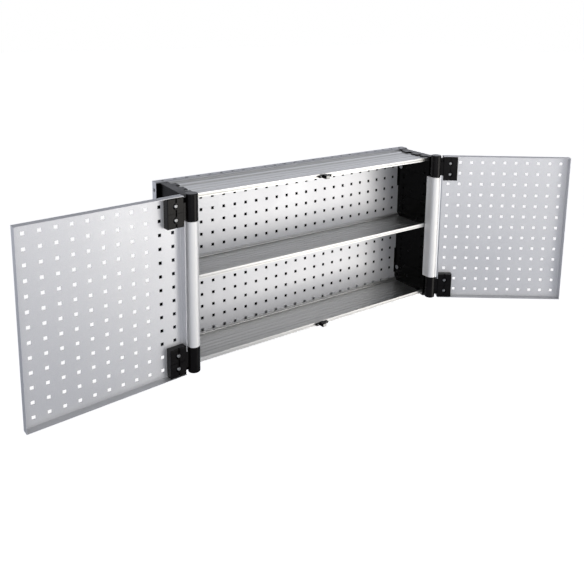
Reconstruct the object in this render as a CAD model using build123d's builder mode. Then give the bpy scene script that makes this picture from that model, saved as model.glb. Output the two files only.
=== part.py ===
from build123d import *
import os

# Wall cabinet: a perforated back panel with a rear cover, two moulded side gables, three lengths of one
# shelf extrusion, two extruded hinge posts and two perforated doors. Millimetres, +X right, +Y into the
# wall, +Z up.
# The origin is the middle of the four wall bolts, on the wall plane. Depths count forward from the back
# panel's face, and a door's own frame has its x from the hinge axis to the free edge.

# --- perforation -------------------------------------------------------------------------------
pitch = 38.0            # spacing of the square holes, both ways
hole = 9.2              # side of a square hole
hole_cover = 3.2        # round heads reach this far past the sides of the holes that they cover
edge_margin = 24.5      # last hole column or row to the panel's folded edge, and row to the doors' ends
hole_rows = 13          # rows in the back panel and in each door
door_columns = 11       # columns in each door
panel_columns = 2 * door_columns + 3

# --- sheet metal -------------------------------------------------------------------------------
sheet = 1.2             # steel sheet thickness
bend_radius = 2.0       # outside radius of a folded edge
corner_slit = 0.6       # gap between two folded rims at a corner
panel_fold = 28.0       # depth of the back panel's folded rim
cover_sheet = 1.0       # rear cover, which closes the panel's back and lies on the wall
cover_inset = 2.0       # rear cover's edges in from the panel's outline
wall_lip = 36.0         # width of the panel's rear lips, which the cover is riveted to
wall_bolt_radius = 3.5
wall_bolt_column = 11   # the wall bolts stand this many pitches either side of the middle
door_fold = 23.5        # depth of a door's folded rim
rivet_radius = 1.6
rivet_head = 3.0        # radius of a rivet's countersunk head, at the cover's face
rivet_bulb = 2.6
rivet_bulb_length = 3.0
rivet_inset = 10.0      # rivets to the panel's upper and lower edges
rivet_columns = 4
rivet_spacing = 7       # pitches between two rivets

# --- hinge line --------------------------------------------------------------------------------
barrel_radius = 17.0
barrel_length = 74.5
barrel_edge = 2.0                   # rounding of a barrel's ends
hinge_gap = barrel_radius + 7.0     # hinge axis to the door's hinge edge
door_gap = 2.0                      # between the closed doors
axis_setback = 22.0                 # hinge axis forward of the gables' fronts
door_face = barrel_radius + 1.5     # hinge axis to the door's outer face
door_lift = 4.0                     # the doors sit this much above the panel's middle
left_opening = 175.0                # degrees open at rest
right_opening = 144.3
barrel_above = 3.0                  # the upper barrel ends this far above the door
barrel_inset = 2.0                  # the lower barrel ends this far above the door's lower edge
post_screw_inset = 50.0             # the outer post screws to the post's ends
post_screw_gap = 1.4                # the post screws' heads to the liner
post_wall = 2.2
post_rear_wall = 6.0
rod_radius = 5.0
rod_play = 0.06                     # radial running clearance of a barrel on its rod
rod_engagement = 60.0               # rod inside each barrel
bush_radius = 7.0
bush_flange_radius = 14.0
bush_flange = 0.8
bush_length = 30.0
end_play = 0.2                      # between parts that turn face to face

# --- hinge leaf --------------------------------------------------------------------------------
leaf_width = 47.5
leaf_inset = 3.0                    # leaf block's end to the door's edge
leaf_play = 0.2                     # leaf block to the door's bend
leaf_below_rim = 1.0                # leaf face below the door's rim
leaf_edge = 1.5                     # rounding of the block's face
lug_height = 47.0
lug_step = 3.0                      # lug face below the leaf's face
lug_inset = 3.0                     # lug's back face in from the barrel's
web_step = 7.0                      # face of the lug's end web below the lug's face
web_inset = 5.0                     # end web to the block's end
lug_play = 0.8                      # folded rim's notch around the lug
leaf_slot = 5.0
leaf_slot_depth = 4.0
leaf_groove = 2.0
leaf_groove_depth = 1.5
pocket_radius = 9.0                 # half-round pocket beside each hinge screw
pocket_depth = 9.0

# --- gables ------------------------------------------------------------------------------------
gable_depth = 150.0
gable_end_gap = 1.5                 # a gable's ends in from the panel's edges
gable_side_gap = 9.5                # a gable's outer face in from the panel's edge
gable_thickness = 25.5
gable_wall = 3.0
top_wall = 2.5
liner_thickness = 3.5
liner_play = 0.2
tooth_reach = 13.9                  # the top teeth reach this far over the top shelf
tooth_spans = (
    (24.0, 52.0),
    (gable_depth / 2 - 3.0, gable_depth / 2 + 27.0),
    (gable_depth - 34.0, gable_depth - 14.0),
)
rail_rise = 1.2
rail_spans = ((1, 69.5, 88.5), (1, 164.5, 167.5), (-1, 67.5, 86.5))     # end, and distances from it
rail_margin = 8.0                   # a rail's ends to the liner's edges
tab_reach = 5.5                     # the rear tabs reach this far in over the panel
tab_spans = ((1, 19.0, 133.0), (-1, 40.0, 133.0))
boss_radius = 5.0

# --- fittings in the gables --------------------------------------------------------------------
peg_shank_radius = 3.5
peg_radius = 4.0
peg_length = 14.0
peg_rear = 28.0
peg_inset = 20.0                    # front pegs to the gable's front
peg_levels = 5                      # rows of peg holes above the middle one, and below it
cam_radius = 7.5
cam_depth = 12.0
cam_row = 5                         # hole row, up and down, that the cams stand at
cam_proud = 1.5
cam_clearance = 4.0                 # a cam housing's end to the gable's outer wall
stud_radius = 3.0
stud_head = 2.5
grommet_radius = 11.0
grommet_neck = 8.5
grommet_bore = 6.0
grommet_depth = 15.0
grommet_inset = 36.0                # grommet to the gable's lower end
grommet_proud = 1.5
liner_screw_depth = 67.0
liner_screw_insets = (46.0, 141.0)

# --- shelf extrusion ---------------------------------------------------------------------------
shelf_setback = 3.0                 # shelf's front behind the gables' fronts
shelf_height = 12.5
rear_strip = 7.0
front_lip = 8.0
lip_groove = 3.5
lip_groove_depth = 1.5
surface_drop = 9.0                  # shelf surface below the top of the lip
web = 2.0
ridge_radius = 0.8
ridge_pitch = 16.5
ridge_start = 24.0
band_rise = 0.8                     # broad flat bands on the underside
rear_band = (38.0, 18.0)            # its middle from the rear edge, and its width
front_bands = ((57.0, 16.0), (25.0, 10.0))
port_radius = 2.0                   # screw port along the extrusion
port_wall = 1.4
port_level = 6.5
end_gap = 0.2                       # shelf end to the gable
seat_gap = 0.1                      # middle shelf to its pegs
bottom_margin = 10.0                # bottom shelf above the panel's lower edge

# --- catches -----------------------------------------------------------------------------------
catch_width = 46.0
catch_wing_height = 7.0
catch_wing_depth = 6.0
catch_drop = 1.0                    # catch's middle below the lip's middle
catch_boss_width = 14.0
catch_boss_height = 11.0
catch_gap = 0.3                     # magnet to the closed doors' rims
magnet_width = 10.5
magnet_height = 8.0
magnet_length = 13.0
magnet_proud = 1.0
catch_screw_offset = 15.5

# --- screws ------------------------------------------------------------------------------------
screw_play = 0.15                   # radial clearance around a screw
cross_span = 1.15                   # span of a head's cross recess, as a share of the head's radius
cross_width = 0.3
cross_depth = 1.0
small_screw = 1.8                   # shank radius
small_head = 3.6
small_head_height = 2.2
catch_screw = 1.3
catch_head = 2.5
catch_head_height = 1.6
hinge_screw = 2.5
hinge_head = 5.4
hinge_head_height = 3.2
nut_dome = 2.6
nut_sleeve = 4.0
nut_sleeve_length = 10.0

# --- worked out from the above -----------------------------------------------------------------
panel_half_width = (panel_columns - 1) / 2 * pitch + edge_margin
panel_half_height = (hole_rows - 1) / 2 * pitch + edge_margin
panel_face = -panel_fold
panel_back = -cover_sheet
wall_bolt_spacing = (2 * wall_bolt_column * pitch, (hole_rows - 1) * pitch)
door_height = 2 * panel_half_height
door_bottom = door_lift - door_height / 2
door_top = door_lift + door_height / 2
gable_outer = panel_half_width - gable_side_gap
hinge_x = gable_outer - barrel_radius
door_width = hinge_x - hinge_gap - door_gap / 2
door_margin = (door_width - (door_columns - 1) * pitch) / 2
gable_front = panel_face - gable_depth
hinge_y = gable_front - axis_setback
gable_inner = gable_outer - gable_thickness
gable_half = panel_half_height - gable_end_gap
liner_outer = gable_inner + liner_thickness
cavity_outer = gable_outer - gable_wall
cam_length = cavity_outer - cam_clearance - gable_inner + cam_proud
post_screw_x = liner_outer + post_screw_gap + small_head
stud_x = (panel_columns - 1) / 2 * pitch
barrel_step = bush_flange + end_play
post_top = door_top + barrel_above - barrel_length - barrel_step
post_bottom = door_bottom + barrel_inset + barrel_length + barrel_step
post_length = post_top - post_bottom
post_middle = (post_bottom + post_top) / 2
post_screw_levels = (post_bottom + post_screw_inset, post_middle, post_top - post_screw_inset)
peg_depths = (peg_rear, gable_depth - peg_inset)
grommet_level = grommet_inset - gable_half
liner_screw_levels = [up * (gable_half - inset) for up in (1, -1) for inset in liner_screw_insets]
stud_head_radius = hole / 2 + hole_cover
nut_dome_radius = hole / 2 + hole_cover
door_inside = sheet - door_face
door_rim = door_fold - door_face
leaf_start = hinge_gap + bend_radius + leaf_play
leaf_face = door_rim - leaf_below_rim
lug_face = leaf_face - lug_step
lug_back = lug_inset - barrel_radius
screw_column = hinge_gap + door_margin
leaf_centre = door_height / 2 - edge_margin - pitch / 2
leaf_levels = {"upper": door_lift + leaf_centre, "lower": door_lift - leaf_centre}
leaf_height = 2 * (door_height / 2 - leaf_inset - leaf_centre)
shelf_half = gable_inner - end_gap
shelf_depth = gable_depth - shelf_setback
ridge_count = int((shelf_depth - front_lip - ridge_start) / ridge_pitch) + 1
bands = [rear_band] + [(shelf_depth - inset, width) for inset, width in front_bands]
web_base = shelf_height - surface_drop - web
shelf_bases = {
    "top": gable_half - top_wall,
    "middle": peg_radius + seat_gap - web_base + band_rise,
    "bottom": -panel_half_height + bottom_margin,
}
shelf_ups = {"top": -1, "middle": 1, "bottom": 1}
rear_port = gable_wall + liner_play + small_head
front_port = shelf_depth - (front_lip + lip_groove_depth) / 2
port_depths = (rear_port, front_port)
screwed_shelves = ("top", "bottom")
catch_front = hinge_y + door_rim + catch_gap
lip_front = panel_face - shelf_depth

upright = (Align.CENTER, Align.CENTER, Align.MIN)

os.makedirs("parts", exist_ok=True)


def save(piece, name):
    """Labels a finished piece and writes it to its own file."""
    piece.part.label = name
    export_step(piece.part, f"parts/{name}.step")


def centred(count):
    """Whole steps either side of the middle, for a row of this many."""
    return [step - (count - 1) / 2 for step in range(count)]


def forward(depth):
    """The y of a place this far forward of the back panel's face."""
    return panel_face - depth


def door_frame(side):
    """The plane of a door's own frame: x along the door, z up, its origin on the hinge axis."""
    turn = right_opening + 180 if side > 0 else -left_opening
    origin = Location((side * hinge_x, hinge_y, 0), (0, 0, turn))
    return Plane(origin)


def in_frame(frame, origin, x_dir, z_dir):
    """A plane that is given in a frame's own directions."""
    return Plane(frame.location * Plane(origin=origin, x_dir=x_dir, z_dir=z_dir).location)


def block(x, y, z, mode=Mode.ADD):
    """Adds or cuts a box between two values on each axis, given in either order."""
    with Locations([tuple((a + b) / 2 for a, b in (x, y, z))]):
        Box(abs(x[1] - x[0]), abs(y[1] - y[0]), abs(z[1] - z[0]), mode=mode)


def bar(plane, radius, length, mode=Mode.ADD):
    """Adds or cuts a round bar that stands on a plane."""
    with BuildSketch(plane) as section:
        Circle(radius)
    extrude(section.sketch, amount=length, mode=mode)


def pan_screw(seat, shank, length, head, height):
    """Adds a pan-head screw: the seat plane lies under its head and points out of it."""
    bar(seat, shank, -length)
    bar(seat, head, height / 2)
    with BuildSketch(seat.offset(height / 2)) as shoulder:
        Circle(head)
    with BuildSketch(seat.offset(height)) as crown:
        Circle(head * 0.7)
    loft([shoulder.sketch, crown.sketch])
    cross_recess(seat.offset(height), head)


def cross_recess(top, head):
    """Cuts a cross recess, sized for a head's radius, into a plane that points out of the head."""
    with BuildSketch(top) as cross:
        Rectangle(cross_span * head, cross_width * head)
        Rectangle(cross_width * head, cross_span * head)
    extrude(cross.sketch, amount=-cross_depth, mode=Mode.SUBTRACT)


def shelf_level(name, height):
    """The z of a height above a shelf's base; the top shelf is the same extrusion, upside down."""
    return shelf_bases[name] + shelf_ups[name] * height


def from_end(span):
    """The two z values of a span that is given by an end of the gable and two distances from it."""
    up, near, far = span
    return up * (gable_half - near), up * (gable_half - far)


def screw_ports():
    """Depth and z of the four screw ports at each end of the fixed shelves."""
    return [(depth, shelf_level(name, port_level)) for name in screwed_shelves for depth in port_depths]


# --- back panel --------------------------------------------------------------------------------
def make_back_panel():
    with BuildPart() as back_panel:
        outline = (-panel_half_width, panel_half_width)
        block(outline, (panel_face, panel_back), (-panel_half_height, panel_half_height))
        front_edges = back_panel.faces().sort_by(Axis.Y)[0].edges()
        fillet(front_edges, bend_radius)
        offset(amount=-sheet, openings=back_panel.faces().sort_by(Axis.Y)[-1])
        inner_width = panel_half_width - sheet - corner_slit
        for up in (-1, 1):
            edge = up * panel_half_height
            block((-inner_width, inner_width), (panel_back - sheet, panel_back), (edge, edge - up * wall_lip))
            for side in (-1, 1):
                slit = (side * inner_width, side * (inner_width + corner_slit))
                folded = (panel_face + bend_radius, panel_back)
                block(slit, folded, (edge, edge - up * wall_lip), mode=Mode.SUBTRACT)
        with Locations(Plane.XZ.offset(panel_fold)):
            with GridLocations(pitch, pitch, panel_columns, hole_rows):
                Box(hole, hole, 4 * sheet, mode=Mode.SUBTRACT)
        rim_middle = panel_face / 2
        for up in (-1, 1):
            with Locations((0, rim_middle, up * panel_half_height)):
                with GridLocations(pitch, pitch, panel_columns, 1):
                    Box(hole, hole, 4 * sheet, mode=Mode.SUBTRACT)
            with Locations(Plane.YZ.offset(up * panel_half_width)):
                with Locations([(rim_middle, row * pitch) for row in centred(hole_rows)]):
                    Box(hole, hole, 4 * sheet, mode=Mode.SUBTRACT)
        with BuildSketch(Plane.XZ.offset(cover_sheet)):
            with GridLocations(*wall_bolt_spacing, 2, 2):
                Circle(wall_bolt_radius)
            with Locations(rivet_places()):
                Circle(rivet_radius)
        extrude(amount=sheet, mode=Mode.SUBTRACT)
    save(back_panel, "back_panel")


def rivet_places():
    """X and z of the rear cover's rivets, in a row along its upper and its lower edge."""
    level = panel_half_height - rivet_inset
    return [(step * rivet_spacing * pitch, up * level) for up in (-1, 1) for step in centred(rivet_columns)]


def make_rear_cover():
    """A flat sheet that closes the panel's back, with the four wall bolt holes."""
    with BuildPart() as rear_cover:
        half_width, half_height = panel_half_width - cover_inset, panel_half_height - cover_inset
        block((-half_width, half_width), (panel_back, 0), (-half_height, half_height))
        with BuildSketch(Plane.XZ):
            with GridLocations(*wall_bolt_spacing, 2, 2):
                Circle(wall_bolt_radius)
        extrude(amount=cover_sheet, mode=Mode.SUBTRACT)
        for x, z in rivet_places():
            with Locations(Plane(origin=(x, 0, z), z_dir=(0, -1, 0))):
                Cone(rivet_head, rivet_radius, cover_sheet, align=upright, mode=Mode.SUBTRACT)
    save(rear_cover, "rear_cover")


def make_cover_rivets():
    """Blind rivets: a head flush with the cover, a shank through the lip and a bulb behind it."""
    with BuildPart() as cover_rivets:
        for x, z in rivet_places():
            with Locations(Plane(origin=(x, 0, z), z_dir=(0, -1, 0))):
                Cone(rivet_head, rivet_radius, cover_sheet, align=upright)
            lip = Plane(origin=(x, panel_back, z), z_dir=(0, -1, 0))
            bar(lip, rivet_radius, sheet)
            bar(lip.offset(sheet), rivet_bulb, rivet_bulb_length)
    save(cover_rivets, "cover_rivets")


# --- gables ------------------------------------------------------------------------------------
def make_gable(side, hand):
    """A tray-shaped moulding, open towards the inside, that the liner closes."""
    with BuildPart() as gable:
        block((side * gable_inner, side * gable_outer), (panel_face, gable_front), (-gable_half, gable_half))
        outer = gable.faces().sort_by(Axis.X)[0 if side < 0 else -1]
        fillet(outer.edges().filter_by(Axis.Y) + outer.edges().sort_by(Axis.Y)[:1], gable_wall / 2)
        block(
            (side * gable_inner, side * cavity_outer),
            (forward(gable_wall), gable_front + gable_wall),
            (top_wall - gable_half, gable_half - top_wall),
            mode=Mode.SUBTRACT,
        )
        # the rear flange covers the panel's edge, and the tabs reach in over its face
        flange = (side * cavity_outer, side * panel_half_width)
        block(flange, (panel_face, forward(gable_wall)), (-gable_half, gable_half))
        for span in tab_spans:
            tab = (side * gable_inner, side * (gable_inner - tab_reach))
            block(tab, (panel_face, forward(gable_wall / 2)), from_end(span))
        for near, far in tooth_spans:
            reach = (side * gable_inner, side * (gable_inner - tooth_reach))
            block(reach, (forward(near), forward(far)), (gable_half - top_wall, gable_half))
        bosses = [(liner_screw_depth, level) for level in liner_screw_levels]
        for depth, level in bosses:
            root = Plane(origin=(side * cavity_outer, forward(depth), level), z_dir=(-side, 0, 0))
            bar(root, boss_radius, cavity_outer - liner_outer)
            bar(root, small_screw + screw_play, cavity_outer - liner_outer, mode=Mode.SUBTRACT)
        for level in (-cam_row * pitch, cam_row * pitch):
            entry = Plane(origin=(side * stud_x, panel_face, level), z_dir=(0, -1, 0))
            bar(entry, stud_radius + screw_play, cam_depth, mode=Mode.SUBTRACT)
        for level in post_screw_levels:
            entry = Plane(origin=(side * post_screw_x, gable_front, level), z_dir=(0, 1, 0))
            bar(entry, small_screw + screw_play, gable_wall, mode=Mode.SUBTRACT)
    save(gable, f"gable_{hand}")


def make_liner(side, hand):
    """The gable's inner plate, with rails, peg holes and the seats of the cams and the grommet."""
    rear = forward(gable_wall + liner_play)
    front = gable_front + gable_wall + liner_play
    half = gable_half - top_wall - liner_play
    with BuildPart() as liner:
        block((side * gable_inner, side * liner_outer), (rear, front), (-half, half))
        for span in rail_spans:
            rise = (side * gable_inner, side * (gable_inner - rail_rise))
            block(rise, (rear - rail_margin, front + rail_margin), from_end(span))
        peg_rows = [row * pitch for row in range(-peg_levels, peg_levels + 1)]
        peg_hole = peg_shank_radius + screw_play
        round_holes = [(depth, level, peg_hole) for depth in peg_depths for level in peg_rows]
        round_holes += [(depth, level, small_screw + screw_play) for depth, level in screw_ports()]
        round_holes += [(liner_screw_depth, level, small_screw + screw_play) for level in liner_screw_levels]
        round_holes += [(cam_depth, up * cam_row * pitch, cam_radius + screw_play) for up in (-1, 1)]
        round_holes += [(grommet_depth, grommet_level, grommet_neck + screw_play)]
        for depth, level, radius in round_holes:
            rail_face = side * (gable_inner - rail_rise)
            mouth = Plane(origin=(rail_face, forward(depth), level), z_dir=(side, 0, 0))
            bar(mouth, radius, rail_rise + liner_thickness, mode=Mode.SUBTRACT)
        for level in (-cam_row * pitch, cam_row * pitch):
            entry = Plane(origin=(side * stud_x, panel_face, level), z_dir=(0, -1, 0))
            bar(entry, stud_radius + screw_play, cam_depth, mode=Mode.SUBTRACT)
    save(liner, f"gable_liner_{hand}")


def make_liner_screws(side, hand):
    with BuildPart() as liner_screws:
        for level in liner_screw_levels:
            seat = Plane(origin=(side * gable_inner, forward(liner_screw_depth), level), z_dir=(-side, 0, 0))
            pan_screw(seat, small_screw, liner_thickness + 12, small_head, small_head_height)
    save(liner_screws, f"liner_screws_{hand}")


def make_cams(side, hand):
    """Round cam housings that draw the studs, and so the panel, onto the gable."""
    with BuildPart() as cams:
        for level in (-cam_row * pitch, cam_row * pitch):
            place = (side * (gable_inner - cam_proud), forward(cam_depth), level)
            bar(Plane(origin=place, z_dir=(side, 0, 0)), cam_radius, cam_length)
            cross_recess(Plane(origin=place, z_dir=(-side, 0, 0)), cam_radius)
            entry = Plane(origin=(side * stud_x, panel_face, level), z_dir=(0, -1, 0))
            bar(entry, stud_radius + screw_play, cam_depth, mode=Mode.SUBTRACT)
    save(cams, f"panel_cams_{hand}")


def make_studs(side, hand):
    """Studs with round heads behind the panel, through its end column of square holes."""
    with BuildPart() as studs:
        for level in (-cam_row * pitch, cam_row * pitch):
            seat = Plane(origin=(side * stud_x, panel_face + sheet, level), z_dir=(0, 1, 0))
            bar(seat, stud_head_radius, stud_head)
            bar(seat, stud_radius, -(sheet + cam_depth - screw_play))
    save(studs, f"cam_studs_{hand}")


def make_grommet(side, hand):
    with BuildPart() as grommet:
        face = Plane(
            origin=(side * (gable_inner - grommet_proud), forward(grommet_depth), grommet_level),
            z_dir=(side, 0, 0),
        )
        bar(face, grommet_radius, grommet_proud)
        bar(face, grommet_neck, grommet_proud + liner_thickness)
        bar(face, grommet_bore, grommet_proud + liner_thickness, mode=Mode.SUBTRACT)
        outer_rim = grommet.edges().filter_by(GeomType.CIRCLE).sort_by(SortBy.RADIUS)[-2:]
        chamfer(outer_rim.sort_by(Axis.X)[-1 if side < 0 else 0], grommet_proud / 2)
    save(grommet, f"cable_grommet_{hand}")


def make_post(side, hand):
    """The extruded hinge post: round in front, flat against the gable, with a tube for the rod."""
    with BuildPart() as post:
        with BuildSketch(Plane((side * hinge_x, hinge_y, post_bottom))):
            Circle(barrel_radius)
            with Locations((0, axis_setback / 2)):
                Rectangle(2 * barrel_radius, axis_setback)
            Circle(barrel_radius - post_wall, mode=Mode.SUBTRACT)
            cavity = axis_setback - post_rear_wall
            with Locations((0, cavity / 2)):
                Rectangle(2 * (barrel_radius - post_wall), cavity, mode=Mode.SUBTRACT)
            Circle(bush_radius + post_wall)
            Rectangle(2 * barrel_radius - post_wall, post_wall)
            Circle(bush_radius, mode=Mode.SUBTRACT)
        extrude(amount=post_length)
        for level in post_screw_levels:
            entry = Plane(origin=(side * post_screw_x, gable_front, level), z_dir=(0, -1, 0))
            bar(entry, small_screw + screw_play, post_rear_wall, mode=Mode.SUBTRACT)
    save(post, f"hinge_post_{hand}")


def make_post_screws(side, hand):
    with BuildPart() as post_screws:
        for level in post_screw_levels:
            seat = Plane(origin=(side * post_screw_x, gable_front + gable_wall, level), z_dir=(0, 1, 0))
            pan_screw(seat, small_screw, gable_wall + post_rear_wall, small_head, small_head_height)
    save(post_screws, f"post_screws_{hand}")


def make_rod(side, hand):
    with BuildPart() as rod:
        foot = post_bottom - barrel_step - rod_engagement
        length = post_length + 2 * (barrel_step + rod_engagement)
        bar(Plane((side * hinge_x, hinge_y, foot)), rod_radius, length)
        chamfer(rod.edges().filter_by(GeomType.CIRCLE), rod_radius / 5)
    save(rod, f"hinge_rod_{hand}")


def make_bushes(side, hand):
    """A flanged nylon bush at each end of the post; its flange is the thrust washer."""
    with BuildPart() as bushes:
        for end, up in ((post_bottom, -1), (post_top, 1)):
            seat = Plane(origin=(side * hinge_x, hinge_y, end), z_dir=(0, 0, up))
            bar(seat, bush_flange_radius, bush_flange)
            bar(seat, bush_radius - rod_play / 2, -bush_length)
            bore = seat.offset(-bush_length)
            bar(bore, rod_radius + rod_play / 2, bush_length + bush_flange, mode=Mode.SUBTRACT)
    save(bushes, f"rod_bushes_{hand}")


# --- shelves -----------------------------------------------------------------------------------
def make_shelf(name):
    """One length of the shelf extrusion, drawn in section and run from gable to gable."""
    up = shelf_ups[name]
    section = Plane(origin=(0, panel_face, shelf_bases[name]), x_dir=(0, -1, 0), z_dir=(-up, 0, 0))
    with BuildPart() as shelf:
        with BuildSketch(section):
            with Locations((0, web_base)):
                Rectangle(shelf_depth, web, align=(Align.MIN, Align.MIN))
            Rectangle(rear_strip, shelf_height, align=(Align.MIN, Align.MIN))
            with Locations((shelf_depth, 0)):
                Rectangle(front_lip, shelf_height, align=(Align.MAX, Align.MIN))
            with Locations((shelf_depth, shelf_height / 2)):
                Rectangle(lip_groove_depth, lip_groove, align=(Align.MAX, Align.CENTER), mode=Mode.SUBTRACT)
            ridges = [(ridge_start + step * ridge_pitch, web_base + web) for step in range(ridge_count)]
            with Locations(ridges):
                Circle(ridge_radius)
            for middle, width in bands:
                with Locations((middle, web_base - band_rise)):
                    Rectangle(width, band_rise, align=(Align.CENTER, Align.MIN))
            with Locations((rear_port, port_level)):
                Circle(port_radius + port_wall)
            with Locations([(depth, port_level) for depth in port_depths]):
                Circle(port_radius, mode=Mode.SUBTRACT)
        extrude(amount=shelf_half, both=True)
        long_edges = shelf.edges().filter_by(Axis.X)
        corners = long_edges.group_by(Axis.Y)[0] + long_edges.group_by(Axis.Y)[-1]
        fillet(corners, lip_groove_depth / 3)
        if name in screwed_shelves:
            for offset_x in (-catch_screw_offset, catch_screw_offset):
                entry = Plane(origin=(offset_x, lip_front, catch_level(name)), z_dir=(0, 1, 0))
                bar(entry, catch_screw + screw_play, front_lip, mode=Mode.SUBTRACT)
    save(shelf, f"shelf_{name}")


def make_shelf_screws(side, hand):
    with BuildPart() as shelf_screws:
        for depth, level in screw_ports():
            seat = Plane(origin=(side * liner_outer, forward(depth), level), z_dir=(side, 0, 0))
            pan_screw(seat, small_screw, liner_thickness + 14, small_head, small_head_height)
    save(shelf_screws, f"shelf_screws_{hand}")


def make_pegs():
    """Shouldered pegs in the middle row of peg holes, under the middle shelf."""
    with BuildPart() as pegs:
        for side in (-1, 1):
            for depth in peg_depths:
                shoulder = Plane(origin=(side * gable_inner, forward(depth), 0), z_dir=(-side, 0, 0))
                bar(shoulder, peg_radius, peg_length)
                bar(shoulder, peg_shank_radius, -liner_thickness)
    save(pegs, "shelf_pegs")


# --- catches -----------------------------------------------------------------------------------
def catch_level(name):
    """The z of a catch's middle."""
    return shelf_level(name, shelf_height / 2) - catch_drop


def make_catch(name):
    """A catch: a slim bar screwed to the shelf's lip, whose middle boss carries the magnet."""
    level = catch_level(name)
    wing_front = lip_front - catch_wing_depth
    boss_front = catch_front + magnet_proud
    half_width, half_height = catch_width / 2, catch_wing_height / 2
    boss_width, boss_height = catch_boss_width / 2, catch_boss_height / 2
    seat_x = (-magnet_width / 2, magnet_width / 2)
    seat_z = (level - magnet_height / 2, level + magnet_height / 2)
    magnet_span = (catch_front, catch_front + magnet_length)
    with BuildPart() as housing:
        block((-half_width, half_width), (lip_front, wing_front), (level - half_height, level + half_height))
        fillet(housing.edges().filter_by(Axis.Y), catch_wing_height / 4)
        block((-boss_width, boss_width), (lip_front, boss_front), (level - boss_height, level + boss_height))
        chamfer(housing.faces().sort_by(Axis.Y)[0].edges(), magnet_proud / 2)
        block(seat_x, magnet_span, seat_z, mode=Mode.SUBTRACT)
        for offset_x in (-catch_screw_offset, catch_screw_offset):
            mouth = Plane(origin=(offset_x, wing_front, level), z_dir=(0, 1, 0))
            bar(mouth, catch_screw + screw_play, catch_wing_depth, mode=Mode.SUBTRACT)
            bar(mouth, catch_head + screw_play, catch_head_height, mode=Mode.SUBTRACT)
    save(housing, f"catch_housing_{name}")
    with BuildPart() as magnet:
        block(seat_x, magnet_span, seat_z)
    save(magnet, f"catch_magnet_{name}")


def make_catch_screws():
    """Two screws for each catch, with their heads sunk flush in its bar."""
    head_seat = lip_front - catch_wing_depth + catch_head_height
    length = lip_front + front_lip - head_seat
    with BuildPart() as catch_screws:
        for name in screwed_shelves:
            for offset_x in (-catch_screw_offset, catch_screw_offset):
                seat = Plane(origin=(offset_x, head_seat, catch_level(name)), z_dir=(0, -1, 0))
                pan_screw(seat, catch_screw, length, catch_head, catch_head_height)
    save(catch_screws, "catch_screws")


# --- doors -------------------------------------------------------------------------------------
def make_door(side, hand):
    """A folded perforated pan, made in the door's own frame."""
    frame = door_frame(side)
    inward = -side
    outer, rim = -inward * door_face, inward * door_rim
    free_edge = hinge_gap + door_width
    with BuildPart(frame) as door_panel:
        block((hinge_gap, free_edge), (outer, rim), (door_bottom, door_top))
        across = Axis((0, 0, 0), frame.y_dir * inward)
        fillet(door_panel.faces().sort_by(across)[0].edges(), bend_radius)
        offset(amount=-sheet, openings=door_panel.faces().sort_by(across)[-1])
        # the rim stops short at the corners, and at each lug it gives way up to the corner
        folded = (inward * (bend_radius - door_face), rim)
        inner = free_edge - sheet - corner_slit
        for up, centre in ((1, leaf_levels["upper"]), (-1, leaf_levels["lower"])):
            edge = door_top if up > 0 else door_bottom
            block((inner, inner + corner_slit), folded, (edge, edge - up * sheet), mode=Mode.SUBTRACT)
            notch = centre - up * (lug_height / 2 + lug_play)
            lug_side = (hinge_gap, hinge_gap + sheet + corner_slit)
            block(lug_side, folded, (notch, edge), mode=Mode.SUBTRACT)
        with Locations(Location((hinge_gap + door_width / 2, outer, door_lift), (90, 0, 0))):
            with GridLocations(pitch, pitch, door_columns, hole_rows):
                Box(hole, hole, 4 * sheet, mode=Mode.SUBTRACT)
    save(door_panel, f"door_panel_{hand}")


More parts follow.
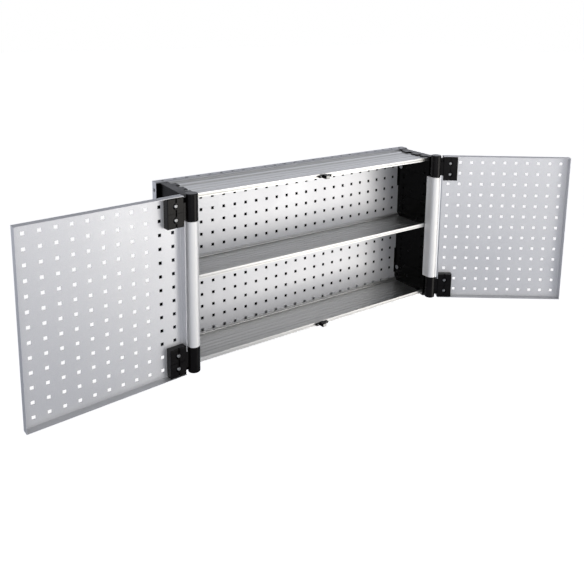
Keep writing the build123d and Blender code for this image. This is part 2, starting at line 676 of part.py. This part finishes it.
def make_leaf(side, hand, name):
    """A hinge leaf: the block on the door's inner face, the lug and the barrel, in one moulding."""
    frame = door_frame(side)
    inward = -side
    up = 1 if name == "upper" else -1
    centre = leaf_levels[name]
    block_end = leaf_start + leaf_width
    half = leaf_height / 2
    face = inward * leaf_face
    barrel_end = (post_top if up > 0 else post_bottom) + up * barrel_step
    with BuildPart(frame) as leaf:
        block((leaf_start, block_end), (inward * door_inside, face), (centre - half, centre + half))
        across = Axis((0, 0, 0), frame.y_dir * inward)
        fillet(leaf.faces().sort_by(across)[-1].edges(), leaf_edge)
        lug_start, lug_end = centre - up * lug_height / 2, centre + up * lug_height / 2
        web_end = centre + up * (half - web_inset)
        block((0, leaf_start), (inward * lug_back, inward * lug_face), (lug_start, lug_end))
        block((0, leaf_start), (inward * lug_back, inward * (lug_face - web_step)), (lug_end, web_end))
        foot = in_frame(frame, (0, 0, barrel_end), (1, 0, 0), (0, 0, up))
        bar(foot, barrel_radius, barrel_length)
        ends = leaf.edges().filter_by(GeomType.CIRCLE).filter_by(lambda edge: edge.radius > barrel_radius / 2)
        fillet(ends.sort_by(Axis.Z)[-1 if up > 0 else 0], barrel_edge)
        bar(foot, rod_radius + rod_play, rod_engagement + end_play, mode=Mode.SUBTRACT)
        # the face has an upright slot, a level groove and a half-round pocket beside each screw
        deep = (face, face - inward * leaf_slot_depth)
        slot = (screw_column - leaf_slot / 2, screw_column + leaf_slot / 2)
        low_screw, high_screw = centre - pitch / 2, centre + pitch / 2
        slot_spans = (
            (centre - half, low_screw - pocket_radius),
            (low_screw + pocket_radius, high_screw - pocket_radius),
            (high_screw + pocket_radius, centre + half),
        )
        for span in slot_spans:
            block(slot, deep, span, mode=Mode.SUBTRACT)
        groove = (centre - leaf_groove / 2, centre + leaf_groove / 2)
        block((leaf_start, block_end), (face, face - inward * leaf_groove_depth), groove, mode=Mode.SUBTRACT)
        for level in (low_screw, high_screw):
            mouth = in_frame(frame, (screw_column, face, level), (1, 0, 0), (0, -inward, 0))
            bar(mouth, hinge_head + 2 * screw_play, hinge_head_height, mode=Mode.SUBTRACT)
            with BuildSketch(mouth):
                Circle(pocket_radius)
                with Locations((hinge_head / 2, 0)):
                    align = (Align.MAX, Align.CENTER)
                    Rectangle(2 * pocket_radius, 2 * pocket_radius, align=align, mode=Mode.SUBTRACT)
            extrude(amount=pocket_depth, mode=Mode.SUBTRACT)
            bar(mouth, hinge_screw + screw_play, leaf_face - door_inside, mode=Mode.SUBTRACT)
            root = in_frame(frame, (screw_column, inward * door_inside, level), (1, 0, 0), (0, inward, 0))
            bar(root, nut_sleeve + screw_play, nut_sleeve_length + end_play, mode=Mode.SUBTRACT)
    save(leaf, f"hinge_leaf_{name}_{hand}")


def make_hinge_fasteners(side, hand):
    """Screws from the inner face, each into a domed sleeve nut whose square neck fills a door hole."""
    frame = door_frame(side)
    inward = -side
    levels = [centre + step for centre in leaf_levels.values() for step in (-pitch / 2, pitch / 2)]
    with BuildPart() as hinge_screws:
        for level in levels:
            seat_height = inward * (leaf_face - hinge_head_height)
            seat = in_frame(frame, (screw_column, seat_height, level), (1, 0, 0), (0, inward, 0))
            length = leaf_face - hinge_head_height - door_inside
            pan_screw(seat, hinge_screw, length, hinge_head, hinge_head_height)
    save(hinge_screws, f"hinge_screws_{hand}")
    with BuildPart() as sleeve_nuts:
        for level in levels:
            skin = in_frame(frame, (screw_column, -inward * door_face, level), (1, 0, 0), (0, -inward, 0))
            bar(skin, nut_dome_radius, nut_dome)
            with BuildSketch(skin):
                Rectangle(hole - 2 * screw_play, hole - 2 * screw_play)
            extrude(amount=-sheet)
            bar(skin, nut_sleeve, -(sheet + nut_sleeve_length))
            bar(skin.offset(-sheet), hinge_screw + screw_play, -nut_sleeve_length, mode=Mode.SUBTRACT)
        across = Axis((0, 0, 0), frame.y_dir * -inward)
        rims = sleeve_nuts.edges().filter_by(GeomType.CIRCLE).group_by(across)[-1]
        fillet(rims, nut_dome * 0.6)
    save(sleeve_nuts, f"sleeve_nuts_{hand}")


make_back_panel()
make_rear_cover()
make_cover_rivets()
for shelf_name in shelf_bases:
    make_shelf(shelf_name)
make_pegs()
for catch_name in screwed_shelves:
    make_catch(catch_name)
make_catch_screws()
for side, hand in ((-1, "left"), (1, "right")):
    make_gable(side, hand)
    make_liner(side, hand)
    make_liner_screws(side, hand)
    make_cams(side, hand)
    make_studs(side, hand)
    make_grommet(side, hand)
    make_post(side, hand)
    make_post_screws(side, hand)
    make_rod(side, hand)
    make_bushes(side, hand)
    make_shelf_screws(side, hand)
    make_door(side, hand)
    for leaf_name in leaf_levels:
        make_leaf(side, hand, leaf_name)
    make_hinge_fasteners(side, hand)
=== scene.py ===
"""Visual model of a perforated wall cabinet with a pair of swing doors.

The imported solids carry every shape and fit, and no piece is added to them. This file gives each solid the
finish of its real material, and sets up a plain studio and the camera.
"""
import logging
import math
from dataclasses import dataclass
from enum import Enum
from typing import Any, Iterable

import bpy
import numpy as np
from mathutils import Matrix, Vector

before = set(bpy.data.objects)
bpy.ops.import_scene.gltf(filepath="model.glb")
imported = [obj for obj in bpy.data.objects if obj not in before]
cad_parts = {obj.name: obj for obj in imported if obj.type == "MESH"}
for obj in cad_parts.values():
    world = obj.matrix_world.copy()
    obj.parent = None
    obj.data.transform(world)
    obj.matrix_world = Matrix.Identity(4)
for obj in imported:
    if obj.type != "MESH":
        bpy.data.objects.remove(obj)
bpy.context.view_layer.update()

LOG = logging.getLogger("cabinet")
MM = 0.001
WHITE = (1.0, 1.0, 1.0, 1.0)
HANDS = ("left", "right")
# A noise value seldom leaves its middle range, so gloss and tone are spread over that range alone.
GLOSS_RANGE = (0.3, 0.7)
TONE_RANGE = (0.35, 0.65)

Tree = bpy.types.NodeTree
Socket = bpy.types.NodeSocket


# --- helpers for names, colours and nodes ------------------------------------------------------
def both(stem: str) -> list[str]:
    """The left and right nodes of a pair."""
    return [f"{stem}_{hand}" for hand in HANDS]


def linear(hex_code: str) -> tuple[float, float, float, float]:
    """Turns an sRGB hex colour into linear red, green, blue and alpha.

    The curve is the sRGB standard's: a short straight stretch near black, and a power of 2.4 above it.

    Args:
        hex_code: Six hex digits, with or without the leading #.

    Returns:
        The linear colour, with an alpha of 1.
    """
    digits = hex_code.lstrip("#")
    srgb = np.array([int(digits[i : i + 2], 16) for i in (0, 2, 4)]) / 255.0
    values = np.where(srgb <= 0.04045, srgb / 12.92, ((srgb + 0.055) / 1.055) ** 2.4)
    return (float(values[0]), float(values[1]), float(values[2]), 1.0)


def add_node(tree: Tree, kind: str, links: dict[Any, Any] | None = None, **settings: Any) -> bpy.types.Node:
    """Adds one shader node with its settings and inputs.

    Args:
        tree: The node tree to add to.
        kind: The node's type name.
        links: Input name or index to a value, or to the output socket that feeds it.
        settings: Attributes of the node itself.

    Returns:
        The new node.
    """
    node = tree.nodes.new(kind)
    for name, value in settings.items():
        setattr(node, name, value)
    for socket, value in (links or {}).items():
        if isinstance(value, Socket):
            tree.links.new(value, node.inputs[socket])
        else:
            node.inputs[socket].default_value = value
    return node


class Direction(Enum):
    """The direction that a drawn or extruded surface was worked in, in the object's axes."""

    ALONG_X = (1.0, 0.0, 0.0)
    ALONG_Z = (0.0, 0.0, 1.0)


# --- finishes ----------------------------------------------------------------------------------
@dataclass(frozen=True)
class Finish:
    """Common base of the finishes: a named Principled surface read in object coordinates.

    Attributes:
        name: The material's name.
        colour: Its main colour, sRGB hex.
        roughness: Mean roughness of the surface.
    """

    name: str
    colour: str
    roughness: float

    def start(self) -> tuple[bpy.types.Material, Tree, bpy.types.Node, Socket]:
        """Makes the bare material.

        Returns:
            The material, its tree, its Principled node and the object coordinates.
        """
        material = bpy.data.materials.new(self.name)
        material.use_nodes = True
        tree = material.node_tree
        surface = next(node for node in tree.nodes if node.type == "BSDF_PRINCIPLED")
        surface.inputs["Base Color"].default_value = linear(self.colour)
        surface.inputs["Roughness"].default_value = self.roughness
        material.diffuse_color = linear(self.colour)
        place = add_node(tree, "ShaderNodeTexCoord").outputs["Object"]
        return material, tree, surface, place

    def dress(self, nodes: Iterable[str]) -> None:
        """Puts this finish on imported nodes.

        Args:
            nodes: The nodes' names.
        """
        material = self.material()
        for name in nodes:
            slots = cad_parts[name].data.materials
            slots.clear()
            slots.append(material)
            LOG.info("finish %s on %s", self.name, name)

    def material(self) -> bpy.types.Material:
        """Makes the material; each finish has its own."""
        raise NotImplementedError


def grain(tree: Tree, place: Socket, size: float, octaves: float) -> Socket:
    """A noise whose features are about this many metres across.

    Args:
        tree: The material's tree.
        place: Coordinates to read it in.
        size: Feature size, in metres.
        octaves: Layers of finer noise on top.

    Returns:
        The noise's value, around one half.
    """
    node = add_node(tree, "ShaderNodeTexNoise", {"Vector": place, "Scale": 1.0 / size, "Detail": octaves})
    return node.outputs["Fac"]


def gloss(tree: Tree, value: Socket, mean: float, swing: float) -> Socket:
    """Turns a noise value into a roughness that swings evenly about its mean.

    Args:
        tree: The material's tree.
        value: The noise's value.
        mean: The mean roughness.
        swing: How far it goes above and below that.

    Returns:
        The roughness.
    """
    low, high = GLOSS_RANGE
    limits = {"From Min": low, "From Max": high, "To Min": mean - swing, "To Max": mean + swing}
    return add_node(tree, "ShaderNodeMapRange", {"Value": value, **limits}).outputs["Result"]


def tone(tree: Tree, value: Socket, first: str, second: str) -> Socket:
    """Turns a noise value into a colour between two.

    Args:
        tree: The material's tree.
        value: The noise's value.
        first: The colour of its low values, sRGB hex.
        second: The colour of its high values, sRGB hex.

    Returns:
        The colour.
    """
    ramp = add_node(tree, "ShaderNodeValToRGB", {"Fac": value})
    for stop, position, colour in zip(ramp.color_ramp.elements, TONE_RANGE, (first, second)):
        stop.position = position
        stop.color = linear(colour)
    return ramp.outputs["Color"]


def relief(tree: Tree, surface: bpy.types.Node, height: Socket, depth: float, strength: float) -> None:
    """Feeds a height into the surface's normal.

    Args:
        tree: The material's tree.
        surface: The Principled node.
        height: The height, from 0 to 1.
        depth: Its depth from 0 to 1, in metres.
        strength: How much of that depth shows.
    """
    bump = add_node(tree, "ShaderNodeBump", {"Height": height, "Distance": depth, "Strength": strength})
    tree.links.new(bump.outputs["Normal"], surface.inputs["Normal"])


@dataclass(frozen=True)
class MetallicPowderCoat(Finish):
    """Silver powder coat, baked on sheet steel: aluminium flakes in a clear polyester.

    The flakes lie almost flat, so the coat mirrors large bright areas as a soft sheen that changes with the
    angle, and the polyester over them has a faint orange peel.

    Attributes:
        second_colour: The tone of the flakes that lie a little askew.
        metallic: How much of the light the flakes send back, against the clear polyester.
        flake: Size of the flakes, in metres. Real ones are far under a tenth of a millimetre; these are as
            coarse as they have to be to show at all.
        drift: Size of the areas where the coat is a little thicker or thinner, in metres.
        drift_swing: How far the roughness changes over them.
        polyester: How much of the clear coat's own gloss shows.
        polyester_roughness: The roughness of that gloss.
        peel: Size of the orange peel's cells, in metres.
        peel_depth: Depth of the orange peel, in metres.
        peel_strength: How much of that depth shows.
    """

    second_colour: str
    metallic: float = 0.62
    flake: float = 0.9 * MM
    drift: float = 120 * MM
    drift_swing: float = 0.03
    polyester: float = 0.2
    polyester_roughness: float = 0.25
    peel: float = 3.0 * MM
    peel_depth: float = 0.03 * MM
    peel_strength: float = 0.3

    def material(self) -> bpy.types.Material:
        """Metal flakes in the colour, slow drift in the gloss, orange peel in the relief, a thin clear coat.

        Returns:
            The material.
        """
        material, tree, surface, place = self.start()
        flakes = grain(tree, place, self.flake, octaves=1.0)
        thickness = grain(tree, place, self.drift, octaves=2.0)
        cells = grain(tree, place, self.peel, octaves=1.0)
        tree.links.new(tone(tree, flakes, self.colour, self.second_colour), surface.inputs["Base Color"])
        tree.links.new(gloss(tree, thickness, self.roughness, self.drift_swing), surface.inputs["Roughness"])
        surface.inputs["Metallic"].default_value = self.metallic
        surface.inputs["Coat Weight"].default_value = self.polyester
        surface.inputs["Coat Roughness"].default_value = self.polyester_roughness
        relief(tree, surface, cells, self.peel_depth, self.peel_strength)
        return material


@dataclass(frozen=True)
class AnodisedExtrusion(Finish):
    """Satin anodised aluminium extrusion: a soft metal gloss, fine die lines and broader bands along its run.

    Attributes:
        second_colour: The other tone of the broader bands.
        run: The direction of extrusion.
        line: Spacing of the fine die lines, in metres. Real ones lie under a tenth of a millimetre apart;
            these are as coarse as they have to be to show at all.
        line_swing: How far the roughness changes across them.
        line_depth: Their depth, in metres.
        line_strength: How much of that depth shows.
        band: Width of the broader bands of tone along the run, in metres; on the turned-over shelf they are
            painted light and shade of its relief.
        length: How many times longer along the run a line or band is than it is wide.
    """

    second_colour: str
    run: Direction
    line: float = 0.6 * MM
    line_swing: float = 0.03
    line_depth: float = 0.02 * MM
    line_strength: float = 0.25
    band: float = 12 * MM
    length: float = 250.0

    def material(self) -> bpy.types.Material:
        """Metal whose noise is stretched along the extrusion, so it reads as drawn lines.

        The coordinate along the run is divided by the length, and the two across it stay as they are.

        Returns:
            The material.
        """
        material, tree, surface, place = self.start()
        stretch = 1.0 - np.array(self.run.value) * (1.0 - 1.0 / self.length)
        scale = tuple(float(value) for value in stretch)
        drawn = add_node(tree, "ShaderNodeMapping", {"Vector": place, "Scale": scale}).outputs["Vector"]
        lines = grain(tree, drawn, self.line, octaves=3.0)
        bands = grain(tree, drawn, self.band, octaves=1.0)
        tree.links.new(tone(tree, bands, self.colour, self.second_colour), surface.inputs["Base Color"])
        tree.links.new(gloss(tree, lines, self.roughness, self.line_swing), surface.inputs["Roughness"])
        surface.inputs["Metallic"].default_value = 1.0
        relief(tree, surface, lines, self.line_depth, self.line_strength)
        return material


@dataclass(frozen=True)
class MouldedPlastic(Finish):
    """Moulded plastic, and the rear sheet's near-black painted shade: fine eroded texture, slightly uneven
    gloss.

    Attributes:
        second_colour: The tone that it drifts to.
        specular: Strength of the mirror gloss.
        flow: Size of the areas that cooled at different speeds, in metres.
        flow_swing: How far the roughness changes over them.
        texture: Size of the eroded texture, in metres. A real one is a few tenths of a millimetre; this one
            is coarser, so that it shows.
        depth: Depth of that texture, in metres.
        strength: How much of that depth shows.
    """

    second_colour: str
    specular: float = 0.35
    flow: float = 45 * MM
    flow_swing: float = 0.06
    texture: float = 1.5 * MM
    depth: float = 0.03 * MM
    strength: float = 0.4

    def material(self) -> bpy.types.Material:
        """A dielectric with an eroded texture, and slow changes of gloss from uneven cooling.

        Returns:
            The material.
        """
        material, tree, surface, place = self.start()
        cooling = grain(tree, place, self.flow, octaves=2.0)
        erosion = grain(tree, place, self.texture, octaves=2.0)
        tree.links.new(tone(tree, cooling, self.colour, self.second_colour), surface.inputs["Base Color"])
        tree.links.new(gloss(tree, cooling, self.roughness, self.flow_swing), surface.inputs["Roughness"])
        surface.inputs["Specular IOR Level"].default_value = self.specular
        relief(tree, surface, erosion, self.depth, self.strength)
        return material


@dataclass(frozen=True)
class PlatedMetal(Finish):
    """Zinc, nickel or drawn steel: bright small parts with tumbled, slightly mottled gloss.

    Attributes:
        second_colour: The tone of the mottling.
        mottle: Size of the mottling, in metres, coarser than the real marks of tumbling, so that it shows.
        mottle_swing: How far the roughness changes over it.
        depth: Depth of the tumbling marks, in metres.
        strength: How much of that depth shows.
    """

    second_colour: str
    mottle: float = 1.6 * MM
    mottle_swing: float = 0.07
    depth: float = 0.02 * MM
    strength: float = 0.3

    def material(self) -> bpy.types.Material:
        """Metal with a mottled tone, gloss and relief, as tumbled plating has.

        Returns:
            The material.
        """
        material, tree, surface, place = self.start()
        spots = grain(tree, place, self.mottle, octaves=2.0)
        tree.links.new(tone(tree, spots, self.colour, self.second_colour), surface.inputs["Base Color"])
        tree.links.new(gloss(tree, spots, self.roughness, self.mottle_swing), surface.inputs["Roughness"])
        surface.inputs["Metallic"].default_value = 1.0
        relief(tree, surface, spots, self.depth, self.strength)
        return material


# Folded sheet steel under a baked silver coat: a wide soft sheen that fades along a panel, and a fine grain.
SHEET_PAINT = MetallicPowderCoat("silver_metallic_powder_coat", "#DDDEE0", 0.45, "#D2D3D6")
# Thin sheet steel in near black, painted shade behind the pan's holes: almost no reflection, so the back
# reads as one flat dark plane.
COVER_PAINTED_SHADE = MouldedPlastic("near_black_painted_shade_sheet", "#08080A", 0.60, "#0B0B0D", specular=0.15)
# Extruded aluminium, etched and anodised: a greyish metal with faint narrow bands along the shelf.
SHELF_METAL = AnodisedExtrusion(
    "satin_anodised_shelf", "#E0E0DF", 0.38, "#D3D3D1", Direction.ALONG_X, band=5 * MM)
# The same extrusion the other way up: its plain side shows brighter and darker streaks along the run, painted
# light and shade standing in for the shading of its relief.
PAINTED_RIB_SHADE_METAL = AnodisedExtrusion(
    "anodised_shelf_painted_rib_shade", "#F4F4F3", 0.35, "#BFBFBB", Direction.ALONG_X, band=14 * MM)
# Round extruded tube, bead-blasted before anodising: one broad, milky highlight down its length.
POST_METAL = AnodisedExtrusion("satin_anodised_post", "#F4F4F3", 0.60, "#EDEDEC", Direction.ALONG_Z)
# Injection-moulded ABS from a half-polished tool: deep black, with tight weak reflections.
GABLE_PLASTIC = MouldedPlastic("semi_gloss_black_abs", "#040404", 0.24, "#060606", specular=0.05)
# Injection-moulded polyamide: a warm black, a little glossier than the casings.
HINGE_PLASTIC = MouldedPlastic("satin_black_polyamide", "#0B0909", 0.21, "#0E0C0C", specular=0.16)
# Turned steel with bright zinc plating: small grey glints with soft spots.
ZINC = PlatedMetal("bright_zinc_plate", "#A9AAAB", 0.32, "#929496")
# Moulded white cap over the magnet: a plain off-white with a slight gloss.
MAGNET = MouldedPlastic("white_magnet_cap", "#DEDDD8", 0.40, "#D5D4CE", specular=0.5)
# Steel screws with black oxide and oil: nearly as dark as the mouldings, with a metal glint.
BLACK_STEEL = PlatedMetal("black_plated_steel", "#1D1D1F", 0.38, "#252527")
# Drawn steel rod, left bare: smooth, and the brightest of the metals.
ROD_STEEL = PlatedMetal("drawn_steel_rod", "#B9BABC", 0.25, "#A9AAAD")
# Moulded natural nylon: a waxy, yellowish white.
NYLON = MouldedPlastic("natural_nylon", "#DAD7CE", 0.45, "#D2CFC6", specular=0.5)


# --- sub-assemblies ----------------------------------------------------------------------------
@dataclass
class BackPanel:
    """The perforated pan on the wall, and the sheet that closes its back, coloured near black as painted
    shade behind the holes.

    Attributes:
        pan: The folded pan.
        cover: The sheet behind it and its rivets.
    """

    pan: tuple[str, ...] = ("back_panel",)
    cover: tuple[str, ...] = ("rear_cover", "cover_rivets")

    def build(self) -> None:
        """Gives the folded pan its silver coat, and the cover behind it a near-black colour: painted shade
        for what shows through the holes.
        """
        SHEET_PAINT.dress(self.pan)
        COVER_PAINTED_SHADE.dress(self.cover)


@dataclass
class Gables:
    """The moulded side casings, their liners and what is fitted in them.

    Attributes:
        mouldings: The casings and liners.
        liner_screws: The dark screws that hold the liners.
        fittings: The bright cams, studs and screws.
        grommets: The cable grommets.
    """

    mouldings: tuple[str, ...] = (*both("gable"), *both("gable_liner"))
    liner_screws: tuple[str, ...] = (*both("liner_screws"),)
    fittings: tuple[str, ...] = (
        *both("panel_cams"), *both("cam_studs"), *both("shelf_screws"), *both("post_screws"))
    grommets: tuple[str, ...] = (*both("cable_grommet"),)

    def build(self) -> None:
        """Dresses the mouldings and the small metal fittings."""
        GABLE_PLASTIC.dress(self.mouldings)
        BLACK_STEEL.dress(self.liner_screws)
        ZINC.dress(self.fittings)
        HINGE_PLASTIC.dress(self.grommets)


@dataclass
class Shelves:
    """Three lengths of one aluminium extrusion, with the pegs under the middle one.

    Attributes:
        turned_over: The shelf whose plain side shows.
        upright: The shelves whose ribbed side shows.
        pegs: The pegs that carry the middle shelf.
    """

    turned_over: tuple[str, ...] = ("shelf_top",)
    upright: tuple[str, ...] = ("shelf_middle", "shelf_bottom")
    pegs: tuple[str, ...] = ("shelf_pegs",)

    def build(self) -> None:
        """Dresses the extrusions along their length, and the pegs."""
        # The turned-over shelf's strong light and dark streaks are painted light and shade of its relief.
        PAINTED_RIB_SHADE_METAL.dress(self.turned_over)
        SHELF_METAL.dress(self.upright)
        ZINC.dress(self.pegs)


@dataclass
class Catches:
    """The magnetic catches on the front lips of the fixed shelves.

    Attributes:
        housings: Their moulded housings.
        magnets: The capped magnets.
        screws: The screws that hold them.
    """

    housings: tuple[str, ...] = ("catch_housing_top", "catch_housing_bottom")
    magnets: tuple[str, ...] = ("catch_magnet_top", "catch_magnet_bottom")
    screws: tuple[str, ...] = ("catch_screws",)

    def build(self) -> None:
        """Dresses the housings, magnets and screws."""
        HINGE_PLASTIC.dress(self.housings)
        MAGNET.dress(self.magnets)
        ZINC.dress(self.screws)


@dataclass
class HingePosts:
    """The extruded posts with their rods and bushes.

    Attributes:
        posts: The upright extrusions.
        rods: The rods that the leaves turn on.
        bushes: The bushes between rods and posts.
    """

    posts: tuple[str, ...] = (*both("hinge_post"),)
    rods: tuple[str, ...] = (*both("hinge_rod"),)
    bushes: tuple[str, ...] = (*both("rod_bushes"),)

    def build(self) -> None:
        """Dresses the upright extrusions and the running gear inside them."""
        POST_METAL.dress(self.posts)
        ROD_STEEL.dress(self.rods)
        NYLON.dress(self.bushes)


@dataclass
class Doors:
    """The perforated doors with their moulded leaves and fasteners.

    Attributes:
        panels: The folded door pans.
        leaves: The hinge leaves.
        fasteners: The screws through the leaves and their sleeve nuts.
    """

    panels: tuple[str, ...] = (*both("door_panel"),)
    leaves: tuple[str, ...] = (*both("hinge_leaf_upper"), *both("hinge_leaf_lower"))
    fasteners: tuple[str, ...] = (*both("hinge_screws"), *both("sleeve_nuts"))

    def build(self) -> None:
        """Dresses both doors."""
        SHEET_PAINT.dress(self.panels)
        HINGE_PLASTIC.dress(self.leaves)
        ZINC.dress(self.fasteners)


# --- studio ------------------------------------------------------------------------------------
def smooth_step(tree: Tree, height: Socket, start: tuple[float, float], levels: tuple[Any, float]) -> Socket:
    """A smooth step from one level to another between two heights.

    Args:
        tree: The world's tree.
        height: The height of the direction looked in, as a sine.
        start: The heights where the step begins and ends.
        levels: The level below the step, a number or a socket, and the level above it.

    Returns:
        The level at that height.
    """
    limits = {"From Min": start[0], "From Max": start[1], "To Min": levels[0], "To Max": levels[1]}
    node = add_node(tree, "ShaderNodeMapRange", {"Value": height, **limits}, interpolation_type="SMOOTHSTEP")
    return node.outputs["Result"]


@dataclass(frozen=True)
class SoftBox:
    """A rectangular area light.

    Attributes:
        name: The light's name.
        position: Where it stands, in metres.
        size: Its width and height, in metres.
        power: Its power, in watts.
        target: What it points at, in metres.
        colour: Its sRGB hex colour.
    """

    name: str
    position: tuple[float, float, float]
    size: tuple[float, float]
    power: float
    target: tuple[float, float, float] = (0.0, -0.2, 0.0)
    colour: str = "#FFFAF0"

    def build(self) -> None:
        """Adds the light, facing its target."""
        data = bpy.data.lights.new(self.name, "AREA")
        data.shape = "RECTANGLE"
        data.size, data.size_y = self.size
        data.energy = self.power
        data.color = linear(self.colour)[:3]
        light = bpy.data.objects.new(self.name, data)
        light.visible_camera = False
        aim = Vector(self.target) - Vector(self.position)
        turn = aim.to_track_quat("-Z", "Y").to_matrix().to_4x4()
        light.matrix_world = Matrix.Translation(self.position) @ turn
        bpy.context.scene.collection.objects.link(light)


@dataclass
class Studio:
    """A pale floor under the hung cabinet, a white surround and soft light.

    Heights in the surround are those of a direction, as sines: -1 is straight down and 0 is the horizon.

    Attributes:
        floor_drop: How far the floor lies below the cabinet's middle, in metres.
        floor_size: Side of the floor, in metres.
        floor_colour: Colour of the floor, sRGB hex.
        floor_roughness: Roughness of the floor.
        floor_glow: Light that the floor gives off itself, so that it stays white.
        low_light: Strength of the surround as a light, from straight below.
        level_light: Its strength at the horizon.
        high_light: Its strength overhead.
        turn: The heights between which it brightens to the horizon.
        ceiling: The heights between which it weakens again.
        shade: Its colour from below.
        haze: Its colour from the horizon up.
        clearing: The heights between which the one colour turns into the other.
        boxes: The soft boxes.
    """

    floor_drop: float = 1.30
    floor_size: float = 60.0
    floor_colour: str = "#F4F4F4"
    floor_roughness: float = 0.9
    floor_glow: float = 0.80
    low_light: float = 0.24
    level_light: float = 1.12
    high_light: float = 0.10
    turn: tuple[float, float] = (-0.52, 0.02)
    ceiling: tuple[float, float] = (0.2, 0.55)
    shade: str = "#DDE5FA"
    haze: str = "#F4F6FF"
    clearing: tuple[float, float] = (-0.6, -0.1)
    boxes: tuple[SoftBox, ...] = (
        SoftBox("front_left", (-1.3, -2.7, 0.35), (1.8, 1.0), 15.5),
        SoftBox("front_right", (1.5, -2.7, -0.1), (1.6, 1.1), 17.0),
        SoftBox("low_right", (1.4, -2.7, -1.1), (1.8, 0.9), 4.0),
        SoftBox("far_low_right", (2.0, -2.6, -1.3), (1.5, 0.9), 8.0),
    )

    def build(self) -> None:
        """Adds the surround, the floor and the lights."""
        self.add_surround()
        self.add_floor()
        for box in self.boxes:
            box.build()
            LOG.info("light %s, %.1f W", box.name, box.power)

    def add_surround(self) -> None:
        """A world that is full white to look at, and that lights the cabinet by height.

        Its light grows from below to the horizon in one smooth step, and falls to the ceiling in another.
        """
        world = bpy.data.worlds.new("surround")
        world.use_nodes = True
        bpy.context.scene.world = world
        tree = world.node_tree
        tree.nodes.clear()
        direction = add_node(tree, "ShaderNodeTexCoord").outputs["Generated"]
        height = add_node(tree, "ShaderNodeSeparateXYZ", {"Vector": direction}).outputs["Z"]
        below = smooth_step(tree, height, self.turn, (self.low_light, self.level_light))
        strength = smooth_step(tree, height, self.ceiling, (below, self.high_light))
        share = smooth_step(tree, height, self.clearing, (0.0, 1.0))
        # A Mix node takes its colours at sockets 6 and 7, their share at 0, and gives the mix at 2.
        colours = {0: share, 6: linear(self.shade), 7: linear(self.haze)}
        colour = add_node(tree, "ShaderNodeMix", colours, data_type="RGBA").outputs[2]
        seen = add_node(tree, "ShaderNodeLightPath").outputs["Is Camera Ray"]
        lit = add_node(tree, "ShaderNodeBackground", {"Color": colour, "Strength": strength})
        plain = add_node(tree, "ShaderNodeBackground", {"Color": WHITE, "Strength": 1.0})
        shaders = {0: seen, 1: lit.outputs["Background"], 2: plain.outputs["Background"]}
        mix = add_node(tree, "ShaderNodeMixShader", shaders)
        add_node(tree, "ShaderNodeOutputWorld", {"Surface": mix.outputs["Shader"]})

    def add_floor(self) -> None:
        """A flat square well below the cabinet: each corner is plus or minus half the side."""
        half = self.floor_size / 2
        corners = np.array([(-1, -1), (1, -1), (1, 1), (-1, 1)]) * half
        points = np.column_stack([corners, np.full(len(corners), -self.floor_drop)])
        mesh = bpy.data.meshes.new("floor")
        mesh.from_pydata([tuple(point) for point in points], [], [tuple(range(len(points)))])
        # Matt white paint that gives off a little light: even, without a highlight or a shadow's edge.
        paint = bpy.data.materials.new("matt_white_floor")
        paint.use_nodes = True
        surface = next(node for node in paint.node_tree.nodes if node.type == "BSDF_PRINCIPLED")
        surface.inputs["Base Color"].default_value = linear(self.floor_colour)
        surface.inputs["Roughness"].default_value = self.floor_roughness
        surface.inputs["Emission Color"].default_value = WHITE
        surface.inputs["Emission Strength"].default_value = self.floor_glow
        mesh.materials.append(paint)
        floor = bpy.data.objects.new("floor", mesh)
        floor.visible_glossy = False
        floor.visible_diffuse = False
        bpy.context.scene.collection.objects.link(floor)


@dataclass(frozen=True)
class Camera:
    """The camera, by its place, its heading and its lens.

    Attributes:
        position: Where it stands, in metres.
        heading: Degrees from +Y towards +X.
        elevation: Degrees above the horizon.
        roll: Degrees, clockwise as seen from behind the camera.
        lens: Focal length, in millimetres.
        sensor: Width of the sensor, in millimetres.
        shift: Sideways and upward lens shift, as shares of the picture.
        reach: How far it sees, in metres.
    """

    position: tuple[float, float, float] = (-1.2111, -1.7796, 0.7366)
    heading: float = 35.181
    elevation: float = -10.396
    roll: float = 0.851
    lens: float = 41.917
    sensor: float = 36.0
    shift: tuple[float, float] = (-0.0195, -0.2697)
    reach: float = 200.0

    def build(self) -> None:
        """Adds the camera: right, up and back axes are worked out from heading, elevation and roll."""
        heading, elevation, roll = map(math.radians, (self.heading, self.elevation, self.roll))
        forward = Vector((
            math.sin(heading) * math.cos(elevation),
            math.cos(heading) * math.cos(elevation),
            math.sin(elevation),
        ))
        level = forward.cross(Vector((0.0, 0.0, 1.0))).normalized()
        upright = level.cross(forward)
        right = level * math.cos(roll) + upright * math.sin(roll)
        up = right.cross(forward)
        axes = Matrix((right, up, -forward)).transposed().to_4x4()
        data = bpy.data.cameras.new("camera")
        data.lens = self.lens
        data.sensor_width = self.sensor
        data.shift_x, data.shift_y = self.shift
        data.clip_end = self.reach
        camera = bpy.data.objects.new("camera", data)
        camera.matrix_world = Matrix.Translation(self.position) @ axes
        bpy.context.scene.collection.objects.link(camera)
        bpy.context.scene.camera = camera


def main() -> None:
    """Builds each sub-assembly in order, then the studio and the camera."""
    logging.basicConfig(level=logging.INFO, format="%(name)s: %(message)s")
    bpy.context.scene.view_settings.view_transform = "Standard"
    for part in (BackPanel(), Gables(), Shelves(), Catches(), HingePosts(), Doors(), Studio(), Camera()):
        LOG.info("building %s", type(part).__name__)
        part.build()


if __name__ == "__main__":
    main()
